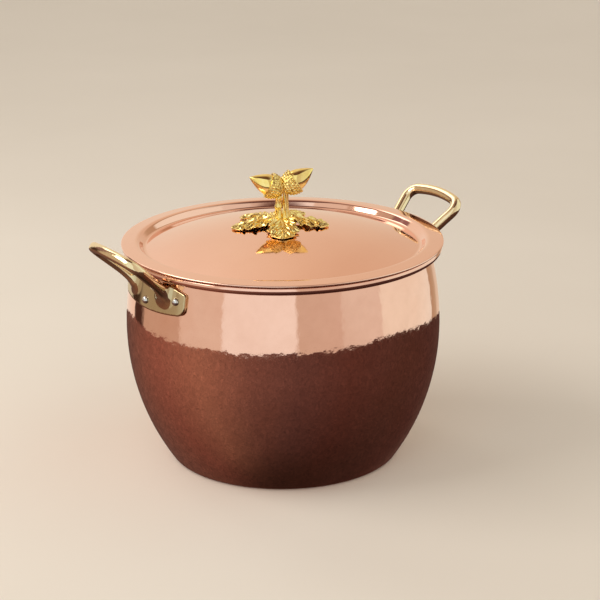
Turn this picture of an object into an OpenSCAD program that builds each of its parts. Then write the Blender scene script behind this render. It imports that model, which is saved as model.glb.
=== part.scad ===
// Lidded copper soup pot: a round-bellied hammered shell with two cast loop handles,
// and a lift-off lid with an oak-leaf and acorn knob.
// The origin is the middle of the flat bottom. Handles lie along X, +Z is up, sizes are in millimetres.

/* [Pot] */
// Outer radius of the belly where it is widest
belly_r = 130.9; // [126:0.1:134]
// Height of the widest place
belly_z = 112; // [106:0.5:118]
// Radius of the side's curve below the widest place
lower_curve = 197; // [188:1:206]
// Radius of the side's curve above the widest place
upper_curve = 240; // [230:1:250]
// Rounding between the side and the flat bottom
foot_round = 4.5; // [4:0.5:8]
// Height where the side ends and the rim curls out
throat_z = 174.5; // [174:0.1:175]
// Thickness of the copper
copper = 2; // [1.6:0.1:2.5]
// Thickness of the bonded steel lining
lining = 0.5; // [0.3:0.1:0.8]

/* [Rim] */
// Height of the top of the rim
rim_z = 183.7; // [183.2:0.1:183.7]
// Outer radius of the rolled rim
rim_r = 131.8; // [131.6:0.1:132.5]
// Radius of the rim's rolled bead
bead_r = 3.7; // [3.4:0.1:3.8]

/* [Lid] */
// Outer radius of the lid
lid_r = 133; // [132:0.1:135]
// Height of the top of the flat flange
flange_z = 185.5; // [185.5:0.1:186.5]
// Radius where the flange turns down
well_r = 119; // [117:0.1:119.5]
// Radius of the foot of the step inside the flange
panel_r = 114; // [112:0.1:115]
// Depth of the step below the flange
well_depth = 6; // [5:0.5:7]
// Rise of the domed panel from its edge to its middle
dome_rise = 18; // [14:0.5:20]
// Thickness of the lid's copper
lid_copper = 1.1; // [0.9:0.1:1.2]
// Thickness of the lid's lining
lid_lining_t = 0.4; // [0.3:0.1:0.4]

/* [Handles] */
// Diameter of the handle bar
bar_d = 8.5; // [7:0.1:9.5]
// Half the distance between the feet of the loop
foot_half = 24.5; // [23:0.5:26]
// Distance from the axis to the feet of the loop
foot_x = 129.5; // [129:0.5:131]
// Height of the feet of the loop
foot_z = 169.5; // [168:0.5:170]
// Length of the loop from its feet to the middle of the grip
loop_len = 44.5; // [42:0.5:50]
// Slope of the loop above level
loop_slope = 42; // [40:1:46]
// Outward lean of each leg within the loop
leg_lean = 15; // [10:1:16]
// Radius of the grip's slight bow
grip_curve = 110; // [80:1:130]
// Radius of the bends between the legs and the grip
bend_r = 10; // [8:0.5:14]
// Thickness of the riveted plate
plate_t = 3; // [2.5:0.1:3.5]
// Half the width of the plate
plate_half = 45; // [44:0.5:50]
// Height of the plate's upper edge
plate_top = 172.5; // [171:0.5:173]
// Height of the plate's lower edge at its middle
plate_low = 148; // [146:0.5:149]

/* [Rivets] */
// Diameter of the rivet's shank
shank_d = 4; // [3.5:0.1:4.5]
// Diameter of the domed head
head_d = 6.6; // [6:0.1:7.5]
// Height of the domed head
head_h = 2.8; // [2:0.1:3.2]
// Height of the two outer rivets
outer_rivet_z = 161; // [160:0.5:162]
// Height of the middle rivet
middle_rivet_z = 154.5; // [154:0.5:157]
// Angle around the pot between the middle rivet and an outer one
rivet_step = 16.4; // [15:0.1:17.5]

/* [Knob] */
// Turn of the acorn pair about the lid's axis, from the handles' line
acorn_turn = -25; // [-180:1:180]
// Radius of the boss that holds the leaves
boss_r = 8; // [7:0.5:8]
// Height of the boss above the middle of the dome
boss_h = 4.6; // [4:0.1:5]
// Distance from the lid's axis to the tips of the leaves
leaf_reach = 43; // [38:0.5:46]
// Width of the widest leaf lobes
leaf_w = 18.5; // [16:0.5:18.5]
// Thickness of a leaf
leaf_t = 1.6; // [1.2:0.1:1.8]
// Diameter of a stem
stem_d = 5.6; // [5:0.1:5.8]
// Height of the acorns' bases above the boss
stem_h = 24; // [22:0.5:28]
// Slope of the left acorn above level
left_slope = 24; // [22:1:27]
// Slope of the right acorn above level
right_slope = 33; // [28:1:34]
// Outer radius of an acorn cup
cup_r = 10.3; // [9.8:0.1:10.3]
// Greatest radius of the nut
nut_r = 8.7; // [8:0.1:9]
// Length of an acorn from the base of its cup to its tip
acorn_len = 28.5; // [27:0.5:31]
// Diameter of the screw that holds the knob
screw_d = 5; // [4:0.1:5]

/* [Hidden] */
$fn = 96;

// Small working amounts
overlap = 1;
bore_play = 0.1;
seat_play = 0.1;
fine = 48;
far = 400;

// Numbers of straight steps in the turned outlines
short_steps = 6;
arc_steps = 8;
side_steps = 16;
long_steps = 24;

// Pot side: foot rounding, lower arc and upper arc meet at shared tangents
lower_c = [belly_r - lower_curve, belly_z];
upper_c = [belly_r - upper_curve, belly_z];
foot_c = [lower_c[0] + sqrt(pow(lower_curve - foot_round, 2) - pow(belly_z - foot_round, 2)), foot_round];
foot_a = atan2(foot_c[1] - belly_z, foot_c[0] - lower_c[0]);
neck_a = asin((throat_z - belly_z) / upper_curve);
throat_r = upper_c[0] + upper_curve * cos(neck_a);

// Rolled rim: a round bead outside, and a wider rounding inside that runs into the side
crown_z = rim_z - lining;
bead_c = [rim_r - bead_r, crown_z - bead_r];
curl_start = 225;
curl_end = 450;
inner_top = polar(upper_c, upper_curve - copper, neck_a);
shoulder_r = (crown_z - inner_top[1]) / (1 + sin(neck_a));
shoulder_c = [inner_top[0] + shoulder_r * cos(neck_a), crown_z - shoulder_r];

// Lid: dome, step and flange with two roundings
panel_z = flange_z - well_depth;
dome_r = (panel_r * panel_r + dome_rise * dome_rise) / (2 * dome_rise);
dome_c = [0, panel_z + dome_rise - dome_r];
dome_z = panel_z + dome_rise;
step_a = atan2(well_depth, well_r - panel_r);
inner_round = 3;
outer_round = 2.2;
step_left = [-sin(step_a), cos(step_a)];
inner_c = reach([panel_r, panel_z] + inner_round * step_left, [cos(step_a), sin(step_a)],
    dome_c, dome_r + inner_round);
inner_a = atan2(inner_c[1] - dome_c[1], inner_c[0] - dome_c[0]);
outer_c = [well_r + outer_round * tan(step_a / 2), flange_z - outer_round];
hem_r = 0.9;
lid_t = lid_copper + lid_lining_t;

// Handle loop, drawn flat: x across, y from the feet towards the grip
bar_r = bar_d / 2;
grip_c = [0, loop_len - grip_curve];
leg_dir = [sin(leg_lean), cos(leg_lean)];
leg_foot = [foot_half, 0];
bend_c = reach(leg_foot + bend_r * [-cos(leg_lean), sin(leg_lean)], leg_dir, grip_c, grip_curve - bend_r);
leg_len = (bend_c - leg_foot) * leg_dir;
grip_a = atan2(bend_c[0] - grip_c[0], bend_c[1] - grip_c[1]);
leg_root = 12;
flare_r = 7;
flare_end_r = bar_r - 0.5;
flare_len = 12;
knuckle_r = bar_r + 0.15;
bend_lap = 4;
plate_arc = 320;
plate_round = 6;
plate_level = 28;
plate_end = plate_top - 4.5;
plate_span = 60;

// Rivets: bores that reach through the plate and the wall, and the flattened tails inside
rivet_bore_len = 6 * copper;
rivet_tail_h = 1.2;
rivet_tail_d = head_d + 0.4;

// Knob
boss_z = dome_z + boss_h;
boss_cut_a = 80;
acorn_z = boss_z + stem_h;
// The acorns' bases lie either side of a point a little off the axis, the right one higher
acorn_x = 1.45;
acorn_side = 0.8;
acorn_rise = 0.6;
cup_depth = 11.5;
nut_seat = 3;
nut_skew = 0.6;
nut_fullness = 0.85;
stem_gap = 0.3;
stem_x = (stem_d + stem_gap) / 2;
stem_reach = 4;
leaf_tilt = 3;
leaf_z = dome_z + 3.6;
leaf_skew = 1.5;
leaf_fullness = 0.8;
leaf_lobes = 3;
leaf_stalk = 1;
notch = 0.16;
short_reach = leaf_reach - 4;
front_turn = 238;
right_turn = 317;
back_right_turn = 42;
back_left_turn = 108;
left_turn = 162;
screw_head_d = 9;
screw_head_h = 3;
washer_d = 14;
washer_t = 1;

function polar(c, r, a) = c + r * [cos(a), sin(a)];
function arc(c, r, a0, a1, n) = [for (i = [0:n]) polar(c, r, a0 + (a1 - a0) * i / n)];
function flip(v) = [for (i = [len(v) - 1:-1:0]) v[i]];
function tail(v) = [for (i = [1:len(v) - 1]) v[i]];
// The far point where a line from p along unit vector d meets a circle
function reach(p, d, c, r) = let (b = (p - c) * d) p + d * (-b + sqrt(b * b - (p - c) * (p - c) + r * r));

// Pot side from the flat bottom to the throat, moved inwards by t
function wall(t) = concat(
    arc(foot_c, foot_round - t, -90, foot_a, short_steps),
    tail(arc(lower_c, lower_curve - t, foot_a, 0, side_steps)),
    tail(arc(upper_c, upper_curve - t, 0, neck_a, arc_steps)));

// Inner rounding from the crown of the rim down to the side, moved inwards by t beyond the copper
function shoulder(t) = arc(shoulder_c, shoulder_r + t - copper, 90, 180 + neck_a, arc_steps);

// Lid from its middle to the foot of the hem, moved downwards by t
function lid_line(t) = concat(
    arc(dome_c, dome_r - t, 90, inner_a, long_steps),
    tail(arc(inner_c, inner_round + t, 180 + inner_a, 270 + step_a, short_steps)),
    arc(outer_c, outer_round - t, 90 + step_a, 90, short_steps));

// Half outline of an acorn nut: blunt base, full middle, drawn-out tip
nut_len = acorn_len - nut_seat;
nut_steps = 22;
function nut_at(s) = [nut_r * pow(sin(180 * pow(s, nut_skew)), nut_fullness), nut_seat + nut_len * s];
function nut_line() = concat([[0, nut_seat]],
    [for (i = [1:nut_steps - 1]) nut_at(i / nut_steps)], [[0, acorn_len]]);

// Half width of a lobed leaf at fraction s of its length
function leaf_half(s) = leaf_w / 2 * pow(sin(180 * pow(s, leaf_skew)), leaf_fullness)
    * (1 - notch - notch * cos(360 * leaf_lobes * s)) + leaf_stalk * (1 - s);

module turned(points) { rotate_extrude() polygon(points); }

// Puts children at a rivet place, with +Z along the wall's outward normal and zero on the copper
module at_rivet(turn, z) {
    a = asin((z - belly_z) / upper_curve);
    p = polar(upper_c, upper_curve, a);
    rotate([0, 0, turn]) translate([p[0], 0, p[1]]) rotate([0, 90 - a, 0]) children();
}

module at_all_rivets() {
    at_rivet(-rivet_step, outer_rivet_z) children();
    at_rivet(0, middle_rivet_z) children();
    at_rivet(rivet_step, outer_rivet_z) children();
}

module rivet_bores() {
    for (side = [0, 180]) rotate([0, 0, side]) at_all_rivets()
        cylinder(d = shank_d + bore_play, h = rivet_bore_len, center = true, $fn = fine);
}

module pot_shell() {
    color("#c57a5c") difference() {
        turned(concat([[0, 0]], wall(0), arc(bead_c, bead_r, curl_start, curl_end, long_steps),
            shoulder(copper), tail(flip(wall(copper))), [[0, copper]]));
        rivet_bores();
    }
}

module pot_lining() {
    color("#b9b9b6") difference() {
        turned(concat([[0, copper]], wall(copper), tail(flip(shoulder(copper))),
            shoulder(copper + lining), tail(flip(wall(copper + lining))), [[0, copper + lining]]));
        rivet_bores();
    }
}

// Flat outline of the plate: x across, y up, with a smiling lower edge and falling ends above
module plate_outline() {
    low_c = [0, plate_low + plate_arc];
    corner = reach([plate_half - plate_round, low_c[1]], [0, -1], low_c, plate_arc - plate_round);
    a = atan2(corner[0], low_c[1] - corner[1]);
    half = concat(tail(arc(low_c, plate_arc, -90, a - 90, arc_steps)),
        tail(arc(corner, plate_round, a - 90, 0, arc_steps)),
        [[plate_half, plate_end], [plate_level, plate_top]]);
    polygon(concat(half, flip([for (p = half) [-p[0], p[1]]])));
}

module plate() {
    intersection() {
        rotate([0, 0, -plate_span / 2]) rotate_extrude(angle = plate_span)
            polygon(concat(wall(0), flip(wall(-plate_t))));
        translate([foot_x / 2, 0, 0]) rotate([90, 0, 90]) linear_extrude(foot_x) plate_outline();
    }
}

module loop_half() {
    translate([leg_foot[0], leg_foot[1], 0]) rotate([0, 0, -leg_lean]) rotate([-90, 0, 0]) {
        translate([0, 0, -leg_root]) cylinder(r = bar_r, h = leg_len + leg_root);
        translate([0, 0, -leg_root]) cylinder(r1 = flare_r, r2 = flare_end_r, h = leg_root + flare_len);
    }
    translate([bend_c[0], bend_c[1], 0]) rotate([0, 0, -leg_lean - bend_lap])
        rotate_extrude(angle = 90 + leg_lean - grip_a + 2 * bend_lap)
        translate([bend_r, 0]) circle(r = knuckle_r, $fn = fine);
}

module loop() {
    translate([foot_x, 0, foot_z]) rotate([0, -loop_slope, 0]) rotate([0, 0, -90]) {
        loop_half();
        mirror([1, 0, 0]) loop_half();
        translate([grip_c[0], grip_c[1], 0]) rotate([0, 0, 90 - grip_a])
            rotate_extrude(angle = 2 * grip_a) translate([grip_curve, 0]) circle(r = bar_r, $fn = fine);
    }
}

module handle() {
    color("#d9b368") difference() {
        union() {
            plate();
            difference() {
                loop();
                turned(concat([[0, 0]], wall(-plate_t / 2), [[throat_r + plate_t / 2, far], [0, far]]));
            }
        }
        at_all_rivets() cylinder(d = shank_d + bore_play, h = rivet_bore_len, center = true, $fn = fine);
    }
}

module rivet(turn, z) {
    dome = (head_d * head_d / 4 + head_h * head_h) / (2 * head_h);
    inside = copper + lining + seat_play;
    color("#c9c9c7") at_rivet(turn, z) {
        translate([0, 0, -inside - overlap])
            cylinder(d = shank_d, h = inside + plate_t + 2 * overlap, $fn = fine);
        translate([0, 0, plate_t + seat_play / 2]) intersection() {
            translate([0, 0, head_h - dome]) sphere(r = dome, $fn = fine);
            cylinder(d = head_d, h = head_h, $fn = fine);
        }
        translate([0, 0, -inside - rivet_tail_h]) cylinder(d = rivet_tail_d, h = rivet_tail_h, $fn = fine);
    }
}

module left_handle() { rotate([0, 0, 180]) handle(); }
module right_handle() { handle(); }
module left_rivet_front() { rotate([0, 0, 180]) rivet(rivet_step, outer_rivet_z); }
module left_rivet_middle() { rotate([0, 0, 180]) rivet(0, middle_rivet_z); }
module left_rivet_rear() { rotate([0, 0, 180]) rivet(-rivet_step, outer_rivet_z); }
module right_rivet_front() { rivet(-rivet_step, outer_rivet_z); }
module right_rivet_middle() { rivet(0, middle_rivet_z); }
module right_rivet_rear() { rivet(rivet_step, outer_rivet_z); }

module screw_bore(d) { cylinder(d = d, h = far, $fn = fine); }

module lid_shell() {
    hem_c = [lid_r - hem_r, flange_z - hem_r];
    color("#d08a6c") difference() {
        turned(concat(lid_line(0), arc(hem_c, hem_r, 90, -90, arc_steps),
            [[lid_r - 2 * hem_r, flange_z - lid_copper]], flip(lid_line(lid_copper))));
        screw_bore(screw_d + 2 * bore_play);
    }
}

module lid_lining() {
    color("#b9b9b6") difference() {
        turned(concat(lid_line(lid_copper), [[lid_r - 2 * hem_r, flange_z - lid_copper],
            [lid_r - 2 * hem_r, flange_z - lid_t]], flip(lid_line(lid_t))));
        screw_bore(screw_d + 2 * bore_play);
    }
}

module knob_boss() {
    color("#d6a63e") difference() {
        translate([0, 0, dome_z - overlap]) cylinder(r = boss_r, h = boss_h + overlap);
        turned(concat([[0, 0]], flip(arc(dome_c, dome_r, 90, boss_cut_a, long_steps))));
        screw_bore(screw_d);
    }
}

module leaf(turn, length) {
    steps = 36;
    half = [for (i = [0:steps]) [length * i / steps, leaf_half(i / steps)]];
    other = [for (i = [steps - 1:-1:0]) [half[i][0], -half[i][1]]];
    color("#d6a63e") rotate([0, 0, turn]) difference() {
        translate([0, 0, leaf_z]) rotate([0, leaf_tilt, 0]) translate([0, 0, -leaf_t / 2])
            linear_extrude(leaf_t) polygon(concat(half, other));
        cylinder(r = boss_r, h = far);
    }
}

module leaf_front() { leaf(front_turn, leaf_reach); }
module leaf_right() { leaf(right_turn, short_reach); }
module leaf_back_right() { leaf(back_right_turn, leaf_reach); }
module leaf_back_left() { leaf(back_left_turn, leaf_reach); }
module leaf_left() { leaf(left_turn, leaf_reach); }

// Puts children at an acorn's base, with +Z along the acorn
module at_acorn(side) {
    slope = side < 0 ? left_slope : right_slope;
    rotate([0, 0, acorn_turn])
        translate([side * acorn_x + acorn_side, 0, acorn_z + side * acorn_rise])
        rotate([0, side * (90 - slope), 0]) children();
}

module cup_solid(side) {
    at_acorn(side) intersection() {
        translate([0, 0, cup_r]) sphere(r = cup_r);
        cylinder(r = 2 * cup_r, h = cup_depth);
    }
}

module nut(side) { at_acorn(side) turned(nut_line()); }

module cup(side) {
    color("#d6a63e") difference() {
        cup_solid(side);
        nut(side);
    }
}

module stem(side) {
    color("#d6a63e") difference() {
        rotate([0, 0, acorn_turn]) translate([side * stem_x, 0, boss_z])
            cylinder(d = stem_d, h = stem_h + stem_reach);
        cup_solid(-1);
        cup_solid(1);
        rotate([0, 0, acorn_turn]) translate([-far, -far, acorn_z]) cube([2 * far, 2 * far, far]);
    }
}

module left_stem() { stem(-1); }
module right_stem() { stem(1); }
module left_acorn_cup() { cup(-1); }
module right_acorn_cup() { cup(1); }
module left_acorn_nut() { color("#e0b24a") nut(-1); }
module right_acorn_nut() { color("#e0b24a") nut(1); }

module knob_screw() {
    under = dome_z - lid_t - washer_t - 2 * seat_play;
    color("#c9c9c7") {
        translate([0, 0, under - overlap]) cylinder(d = screw_d, h = boss_z - under + overlap, $fn = fine);
        translate([0, 0, under - screw_head_h]) cylinder(d = screw_head_d, h = screw_head_h, $fn = fine);
    }
}

module knob_washer() {
    color("#c9c9c7") translate([0, 0, dome_z - lid_t - washer_t - seat_play]) difference() {
        cylinder(d = washer_d, h = washer_t, $fn = fine);
        translate([0, 0, -overlap]) cylinder(d = screw_d + 2 * bore_play, h = washer_t + 2 * overlap, $fn = fine);
    }
}

pot_shell();
pot_lining();
left_handle();
right_handle();
left_rivet_front();
left_rivet_middle();
left_rivet_rear();
right_rivet_front();
right_rivet_middle();
right_rivet_rear();
lid_shell();
lid_lining();
knob_boss();
leaf_front();
leaf_right();
leaf_back_right();
leaf_back_left();
leaf_left();
left_stem();
right_stem();
left_acorn_cup();
right_acorn_cup();
left_acorn_nut();
right_acorn_nut();
knob_screw();
knob_washer();
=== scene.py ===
import math

import bpy
import numpy as np
from mathutils import Matrix, Vector


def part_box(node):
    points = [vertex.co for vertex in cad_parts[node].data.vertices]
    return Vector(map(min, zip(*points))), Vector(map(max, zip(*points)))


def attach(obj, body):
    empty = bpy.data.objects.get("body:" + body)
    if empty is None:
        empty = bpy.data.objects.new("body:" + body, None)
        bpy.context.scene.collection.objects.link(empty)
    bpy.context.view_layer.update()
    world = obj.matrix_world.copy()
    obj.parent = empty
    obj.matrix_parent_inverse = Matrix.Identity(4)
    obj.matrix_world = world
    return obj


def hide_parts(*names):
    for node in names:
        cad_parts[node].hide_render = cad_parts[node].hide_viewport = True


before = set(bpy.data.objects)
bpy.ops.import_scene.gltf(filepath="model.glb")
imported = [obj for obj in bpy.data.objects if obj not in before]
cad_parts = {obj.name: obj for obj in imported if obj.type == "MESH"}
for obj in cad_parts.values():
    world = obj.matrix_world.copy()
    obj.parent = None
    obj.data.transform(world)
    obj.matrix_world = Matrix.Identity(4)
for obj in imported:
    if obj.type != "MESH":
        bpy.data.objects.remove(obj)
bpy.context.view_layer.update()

MM = 0.001
CLEARANCE = 0.05
rng = np.random.default_rng(7)


def cad(node):
    """Lowest and highest corner of a CAD node in millimetres."""
    lo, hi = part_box(node)
    return np.array(lo) / MM, np.array(hi) / MM


# ---------------------------------------------------------------- driving sizes
POT_TOP = cad("pot_shell")[1]
LID_TOP = cad("lid_shell")[1]
BOSS_TOP = cad("knob_boss")[1]

# Pot: two arcs meet at the belly, a small arc rounds the foot and a bead ends the rim
COPPER = 2.0
LINING = 0.5
RIM_R = POT_TOP[0]
RIM_TOP = POT_TOP[2]
BELLY_R = 130.9
BELLY_Z = 112.0
LOWER_CURVE = 197.0
UPPER_CURVE = 240.0
FOOT_ROUND = 4.5
THROAT_Z = 174.5
BEAD_R = 3.7
SHELL_SIDES = 640
FLARE_STEPS = 7

# Hammer marks on the pot's side
MARK_PITCH = 4.1
MARK_R = 3.3
MARK_DEPTH = 0.06
MARK_SCATTER = 0.32
MARK_WEAKEST = 0.35
MARK_COLUMNS = 400
MARKS_ROUND = int(2 * math.pi * BELLY_R / MARK_PITCH)
MARK_START_Z = 0.2
MARK_FADE_LOW = 5.0
MARK_FADE_HIGH = 3.0

# Lid: flat flange, step down, domed panel
LID_R = LID_TOP[0] - 0.01
LID_SIDES = 360
FLANGE_Z = 185.5
FLANGE_DROP = 0.9
HEM_R = 0.9
WELL_R = 119.0
PANEL_R = 114.0
WELL_DEPTH = 6.0
INNER_ROUND = 3.0
OUTER_ROUND = 5.0
LID_COPPER = 1.1
WAVER_SLOW = 0.035
WAVER_FINE = 0.018
WAVER_FADE = 5.0
DOME_Z = LID_TOP[2]
PANEL_Z = FLANGE_Z - WELL_DEPTH
DOME_RISE = DOME_Z - PANEL_Z
DOME_R = (PANEL_R**2 + DOME_RISE**2) / (2 * DOME_RISE)

# Loop handles: a bent bar with a riveted plate
BAR_R = 4.25
BAR_SQUARENESS = 2.6
BAR_FLATNESS = 1.04
FOOT_HALF = 24.5
FOOT_SUNK = 9.0
FOOT_FLARE = 2.2
FLARE_FROM = 21.0
FLARE_LEN = 17.0
FOOT_X = 129.5
FOOT_Z = 169.5
LOOP_LEN = 44.15
LOOP_SLOPE = math.radians(42)
LEG_LEAN = math.radians(15)
GRIP_CURVE = 110.0
BEND_R = 10.0
PLATE_T = 3.0
PLATE_R = 126.0
PLATE_HALF = 45.0
PLATE_TOP = 172.5
PLATE_END = 168.0
PLATE_LEVEL = 28.0
PLATE_LOW = 148.0
PLATE_ARC = 320.0
PLATE_BEND = 3.0
PLATE_CORNER = 7.0
PLATE_TOP_ROUND = 2.5
PLATE_FACE_ROUND = 1.3
CASTING_FILLET = 7.0
CASTING_LOW = (117, -51, 143)
CASTING_HIGH = (167, 51, 204)
CASTING_STEP = 0.85

# Rivets: three to a handle, the middle one lower
RIVET_STEP = 16.4
OUTER_RIVET_Z = 161.0
MIDDLE_RIVET_Z = 154.5
HEAD_R = 3.3
HEAD_H = 2.8
SHANK_R = 2.0
TAIL_R = HEAD_R - 0.2
TAIL_H = 1.2
TAIL_ROUND = 0.4
RIVET_SIDES = 40
SET_FACET = 0.05

# Knob: five leaves round a boss, two stems, two acorns
ACORN_TURN = -25.0
ACORN_X = 1.45
ACORN_SIDE = 0.8
ACORN_RISE = 0.6
ACORN_Z = BOSS_TOP[2] + 24.0
LEFT_SLOPE = 24.0
RIGHT_SLOPE = 33.0
CUP_R = 10.3
CUP_DEPTH = 11.5
BOWL_R = CUP_R + 0.3
BOWL_Z = CUP_R - 0.4
BOWL_STEPS = 80
BASE_STRETCH = 1.15
SCALE_ROW = 2.2
SCALE_WIDTH = 2.5
SCALE_HEIGHT = 0.95
SCALE_SUNK = 0.6
SCALE_SPECK = 0.3
LIP_R = 0.8
LIP_IN = 0.55
RIM_BELOW_LIP = 1.0
CUP_SIDES = 180
TURNED_SIDES = 72
BOSS_BORE = 2.6
BOSS_UNEVEN = 0.22
NUT_R = 8.7
ACORN_LEN = 28.5
NUT_SEAT = 3.0
NUT_LEN = ACORN_LEN - NUT_SEAT
NUT_UNEVEN = 0.06
STEM_R = 2.35
STEM_SIDES = 60
STEM_ROWS = 90
STEM_BELOW = 1.2
STEM_APART = 2.8
STEM_BOW = 0.2
STEM_LEAN = 0.3
STEM_GAP = 0.04
STEM_FOOT_FLARE = 0.75
STEM_TOP_FLARE = 0.45
STEM_KNOTS = ((0.5, 0.42, 0.07), (0.35, 0.75, 0.05))
FLUTE_DEPTH = 0.24
FINE_FLUTE_DEPTH = 0.12
FLUTE_TWIST = 1.3
LEAF_REACH = 43.0
LEAF_START = 4.5
LEAF_HALF = 12.6
LEAF_ROWS = 120
LEAF_COLUMNS = 61
LEAF_LIFT = 2.7
LEAF_CLEAR = 0.9
LEAF_LEAST = 0.8
LEAF_FOOT = 2.0
LEAF_LOBES = 4
LOBE_DEPTH = 0.09
LEAF_TEETH = 8
TOOTH_DEPTH = 0.09
LEAF_SWAY = 1.4
LEAF_ARCH = 1.9
LEAF_RUFFLES = 4.0
RUFFLE_HEIGHT = 1.1
FRILL_HEIGHT = 2.6
FRILL_AT = 10.5
FRILL_WIDTH = 3.6
MARGIN_DROOP = 2.3
TIP_DROOP = 1.5
RIB_HEIGHT = 0.8
RIB_WIDTH = 0.9
LEAF_VEINS = 5.5
VEIN_SLANT = 2.4
VEIN_HEIGHT = 0.75
DENT_HEIGHT = 0.05
LEAF_T = 1.3
MARGIN_T = 0.22
LEAF_SEED = 11


# ---------------------------------------------------------------- outlines
def on_arc(centre, radius, start, end, count):
    """Points on an arc, angles in degrees, both ends included."""
    a = np.radians(np.linspace(start, end, count))
    return np.stack([centre[0] + radius * np.cos(a), centre[1] + radius * np.sin(a)], 1)


def line(start, end, count):
    """Points on a straight line, both ends included."""
    return np.linspace(start, end, count)


def resample(points, count):
    """A smooth curve through given points (Catmull-Rom)."""
    points = np.asarray(points, float)
    padded = np.concatenate([[2 * points[0] - points[1]], points, [2 * points[-1] - points[-2]]])
    where = np.linspace(0, len(points) - 1 - 1e-9, count)
    i = where.astype(int)
    t = (where - i)[:, None]
    a, b, c, d = padded[i], padded[i + 1], padded[i + 2], padded[i + 3]
    square, cube = 2 * a - 5 * b + 4 * c - d, 3 * b - a - 3 * c + d
    return 0.5 * (2 * b + (c - a) * t + square * t**2 + cube * t**3)


def chain(*parts):
    """One outline from several, without the doubled points at the joints."""
    points = [parts[0]]
    for part in parts[1:]:
        points.append(part[1:] if np.allclose(part[0], points[-1][-1], atol=1e-6) else part)
    return np.concatenate(points)


upper_c = (BELLY_R - UPPER_CURVE, BELLY_Z)
lower_c = (BELLY_R - LOWER_CURVE, BELLY_Z)
foot_reach = math.sqrt((LOWER_CURVE - FOOT_ROUND) ** 2 - (BELLY_Z - FOOT_ROUND) ** 2)
foot_c = (lower_c[0] + foot_reach, FOOT_ROUND)
foot_a = math.degrees(math.atan2(foot_c[1] - BELLY_Z, foot_c[0] - lower_c[0]))
neck_a = math.degrees(math.asin((THROAT_Z - BELLY_Z) / UPPER_CURVE))
lean_in, lean_up = math.cos(math.radians(neck_a)), math.sin(math.radians(neck_a))
THROAT_R = upper_c[0] + UPPER_CURVE * lean_in
bead_c = (RIM_R - BEAD_R, RIM_TOP - BEAD_R)
inner_top = (upper_c[0] + (UPPER_CURVE - COPPER) * lean_in, BELLY_Z + (UPPER_CURVE - COPPER) * lean_up)
shoulder_r = (RIM_TOP - inner_top[1]) / (1 + lean_up)
shoulder_c = (inner_top[0] + shoulder_r * lean_in, RIM_TOP - shoulder_r)


def wall(inset, counts=(5, 70, 36)):
    """The pot's side from the flat bottom to the throat, moved inwards."""
    return chain(
        on_arc(foot_c, FOOT_ROUND - inset, -90, foot_a, counts[0]),
        on_arc(lower_c, LOWER_CURVE - inset, foot_a, 0, counts[1]),
        on_arc(upper_c, UPPER_CURVE - inset, 0, neck_a, counts[2]),
    )


wall_line = wall(0, (20, 200, 100))


def wall_r(z):
    """Outer radius of the pot's side at a height."""
    return np.interp(z, wall_line[:, 1], wall_line[:, 0])


# ---------------------------------------------------------------- meshes
ON_AXIS = 1e-6
PULLS = 4


def add_mesh(name, points, faces):
    """A smooth-shaded mesh object from points in millimetres."""
    mesh = bpy.data.meshes.new(name)
    mesh.from_pydata((np.asarray(points) * MM).tolist(), [], [tuple(int(i) for i in f) for f in faces])
    mesh.validate()
    mesh.shade_smooth()
    obj = bpy.data.objects.new(name, mesh)
    bpy.context.scene.collection.objects.link(obj)
    return obj


def ring_faces(rows, n, closed):
    """Quads between successive rings of n points; closed joins the last ring to the first."""
    i = np.arange(rows if closed else rows - 1)[:, None]
    j = np.arange(n)[None, :]
    k = (i + 1) % rows
    a = i * n + j
    b = i * n + (j + 1) % n
    c = k * n + (j + 1) % n
    d = k * n + j
    return np.stack(np.broadcast_arrays(a, b, c, d), -1).reshape(-1, 4).tolist()


def lathe(name, outline, n, shift=None):
    """Turns an outline of (radius, height). Ends on the axis close to one point; otherwise it is a ring.

    shift(theta, body) gives how far each point moves along the outline's normal, where body is the
    outline without its points on the axis."""
    outline = np.asarray(outline, float)
    first_axis = outline[0, 0] < ON_AXIS
    last_axis = outline[-1, 0] < ON_AXIS
    body = outline[1 if first_axis else 0 : len(outline) - (1 if last_axis else 0)]
    theta = np.arange(n) * 2 * np.pi / n
    tangent = np.gradient(body, axis=0)
    tangent /= np.linalg.norm(tangent, axis=1)[:, None] + 1e-12
    normal = np.stack([tangent[:, 1], -tangent[:, 0]], 1)
    r = np.repeat(body[:, :1], n, 1)
    z = np.repeat(body[:, 1:], n, 1)
    if shift is not None:
        d = shift(theta, body)
        r = r + d * normal[:, :1]
        z = z + d * normal[:, 1:]
    points = np.stack([r * np.cos(theta), r * np.sin(theta), z], -1).reshape(-1, 3)
    rows = len(body)
    faces = ring_faces(rows, n, not (first_axis or last_axis))
    points = points.tolist()
    if first_axis:
        points.append([0, 0, outline[0, 1]])
        faces += [(len(points) - 1, (j + 1) % n, j) for j in range(n)]
    if last_axis:
        points.append([0, 0, outline[-1, 1]])
        top = (rows - 1) * n
        faces += [(len(points) - 1, top + j, top + (j + 1) % n) for j in range(n)]
    return add_mesh(name, points, faces)


def place(obj, matrix):
    """Moves a mesh's own points, so that the object stays at the origin."""
    obj.data.transform(matrix)
    obj.data.update()
    return obj


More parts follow.
